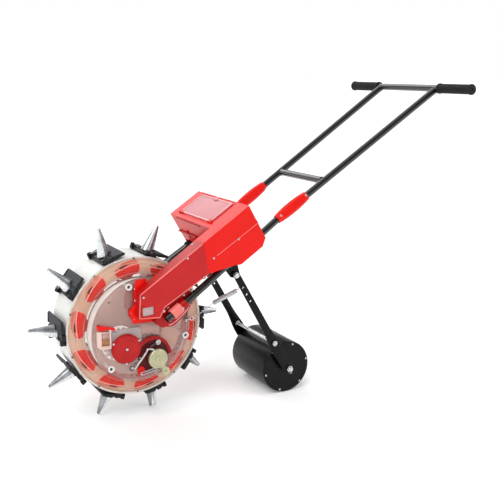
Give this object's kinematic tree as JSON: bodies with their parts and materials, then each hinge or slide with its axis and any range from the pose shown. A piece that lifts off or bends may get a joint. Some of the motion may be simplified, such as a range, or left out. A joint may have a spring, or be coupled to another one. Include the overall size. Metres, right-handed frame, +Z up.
{
  "type": "push seeder",
  "caption": "Hand-pushed hole seeder: toothed planting drum with duckbill mouths, red seed hopper and chute, tubular handle and a sprung press roller behind.",
  "frame": {"origin": "middle of the footprint's bounding box, on the ground", "axes": "+X from the planting drum to the handle, -Y the side with the chute and the metering train, +Z up"},
  "size_m": [1.3408, 0.606, 0.9643],
  "materials": {
    "white_plastic": "satin",
    "clear_cover": "clear, gloss",
    "lid_clear": "clear, gloss",
    "red_plastic": "satin moulded",
    "dark_red_plastic": "satin moulded",
    "grey_plastic": "satin",
    "zinc_plate": "plated",
    "steel": "bright",
    "black_plastic": "moulded grain",
    "black_enamel": "gloss",
    "grip_rubber": "ribbed"
  },
  "bodies": {
    "frame": {"near_core_band": "white_plastic", "far_core_band": "white_plastic", "tie_bolt_1": "white_plastic", "tie_bolt_2": "white_plastic", "tie_bolt_3": "white_plastic", "near_core_plate": "clear_cover", "far_core_plate": "clear_cover", "seed_window": "clear_cover", "metering_cap": "red_plastic", "seed_window_flap": "red_plastic", "seed_chute": "red_plastic", "hopper_body": "red_plastic", "near_coupler": "red_plastic", "far_coupler": "red_plastic", "idler_cover": "dark_red_plastic", "near_tube_clamp": "dark_red_plastic", "far_tube_clamp": "dark_red_plastic", "metering_housing": "grey_plastic", "wire_lever": "steel", "press_spring": "steel", "near_lower_tube": "black_enamel", "far_lower_tube": "black_enamel", "upper_handle": "black_enamel", "near_arm_bracket": "black_enamel", "far_arm_bracket": "black_enamel", "near_grip": "grip_rubber", "far_grip": "grip_rubber"},
    "drum": {"tread_rim": "white_plastic", "near_drum_cover": "clear_cover", "far_drum_cover": "clear_cover", "seed_guide_ring": "red_plastic", "drive_ring_gear": "white_plastic", "mouth_01": "black_plastic", "mouth_02": "black_plastic", "mouth_03": "black_plastic", "mouth_04": "black_plastic", "mouth_05": "black_plastic", "mouth_06": "black_plastic", "mouth_07": "black_plastic", "mouth_08": "black_plastic", "mouth_09": "black_plastic", "mouth_10": "black_plastic"},
    "flap_01": {"flap_01": "black_plastic"},
    "flap_02": {"flap_02": "black_plastic"},
    "flap_03": {"flap_03": "black_plastic"},
    "flap_04": {"flap_04": "black_plastic"},
    "flap_05": {"flap_05": "black_plastic"},
    "flap_06": {"flap_06": "black_plastic"},
    "flap_07": {"flap_07": "black_plastic"},
    "flap_08": {"flap_08": "black_plastic"},
    "flap_09": {"flap_09": "black_plastic"},
    "flap_10": {"flap_10": "black_plastic"},
    "idler": {"idler_gear": "zinc_plate"},
    "metering_roller": {"metering_roller": "white_plastic"},
    "hopper_lid": {"hopper_lid": "lid_clear"},
    "press_arm": {"near_press_arm": "black_enamel", "far_press_arm": "black_enamel", "cross_rod": "steel", "roller_axle": "steel"},
    "press_roller": {"press_roller": "black_enamel"}
  },
  "joints": [
    {"name": "drum_spin", "type": "hinge", "parent": "frame", "child": "drum", "pos_m": [-0.37188, 0, 0.28448], "axis": [0, -1, 0], "continuous": true},
    {"name": "flap_01_hinge", "type": "hinge", "parent": "drum", "child": "flap_01", "pos_m": [-0.30591, 0, 0.48753], "axis": [0, 1, 0], "range_deg": [0, 13], "stiffness_Nm_per_rad": 0.5, "springref_deg": -9.74},
    {"name": "flap_02_hinge", "type": "hinge", "parent": "drum", "child": "flap_02", "pos_m": [-0.43786, 0, 0.48753], "axis": [0, 1, 0], "range_deg": [0, 13], "stiffness_Nm_per_rad": 0.5, "springref_deg": -9.74},
    {"name": "flap_03_hinge", "type": "hinge", "parent": "drum", "child": "flap_03", "pos_m": [-0.54461, 0, 0.40997], "axis": [0, 1, 0], "range_deg": [0, 13], "stiffness_Nm_per_rad": 0.5, "springref_deg": -9.74},
    {"name": "flap_04_hinge", "type": "hinge", "parent": "drum", "child": "flap_04", "pos_m": [-0.58538, 0, 0.28448], "axis": [0, 1, 0], "range_deg": [0, 13], "stiffness_Nm_per_rad": 0.5, "springref_deg": -9.74},
    {"name": "flap_05_hinge", "type": "hinge", "parent": "drum", "child": "flap_05", "pos_m": [-0.54461, 0, 0.15898], "axis": [0, 1, 0], "range_deg": [0, 13], "stiffness_Nm_per_rad": 0.5, "springref_deg": -9.74},
    {"name": "flap_06_hinge", "type": "hinge", "parent": "drum", "child": "flap_06", "pos_m": [-0.43786, 0, 0.08143], "axis": [0, 1, 0], "range_deg": [0, 13], "stiffness_Nm_per_rad": 0.5, "springref_deg": -9.74},
    {"name": "flap_07_hinge", "type": "hinge", "parent": "drum", "child": "flap_07", "pos_m": [-0.30591, 0, 0.08143], "axis": [0, 1, 0], "range_deg": [-9, 4], "stiffness_Nm_per_rad": 0.5},
    {"name": "flap_08_hinge", "type": "hinge", "parent": "drum", "child": "flap_08", "pos_m": [-0.19916, 0, 0.15898], "axis": [0, 1, 0], "range_deg": [0, 13], "stiffness_Nm_per_rad": 0.5, "springref_deg": -9.74},
    {"name": "flap_09_hinge", "type": "hinge", "parent": "drum", "child": "flap_09", "pos_m": [-0.15838, 0, 0.28448], "axis": [0, 1, 0], "range_deg": [0, 13], "stiffness_Nm_per_rad": 0.5, "springref_deg": -9.74},
    {"name": "flap_10_hinge", "type": "hinge", "parent": "drum", "child": "flap_10", "pos_m": [-0.19916, 0, 0.40997], "axis": [0, 1, 0], "range_deg": [0, 13], "stiffness_Nm_per_rad": 0.5, "springref_deg": -9.74},
    {"name": "idler_spin", "type": "hinge", "parent": "frame", "child": "idler", "pos_m": [-0.33188, 0, 0.19831], "axis": [0, -1, 0], "continuous": true},
    {"name": "metering_spin", "type": "hinge", "parent": "frame", "child": "metering_roller", "pos_m": [-0.42295, 0, 0.23962], "axis": [0, -1, 0], "continuous": true},
    {"name": "lid_hinge", "type": "hinge", "parent": "frame", "child": "hopper_lid", "pos_m": [-0.14022, 0, 0.57264], "axis": [0, -1, 0], "range_deg": [0, 105]},
    {"name": "press_arm_pivot", "type": "hinge", "parent": "frame", "child": "press_arm", "pos_m": [-0.07298, 0, 0.41078], "axis": [0, 1, 0], "range_deg": [-18, 0], "stiffness_Nm_per_rad": 60, "springref_deg": 21.77, "deforming": ["press_spring"]},
    {"name": "press_roller_spin", "type": "hinge", "parent": "press_arm", "child": "press_roller", "pos_m": [0.11582, 0, 0.08379], "axis": [0, -1, 0], "continuous": true}
  ],
  "couplings": [
    {"joint": "idler_spin", "follows": "drum_spin", "ratio": 2.7273},
    {"joint": "metering_spin", "follows": "drum_spin", "ratio": -3.3333}
  ]
}
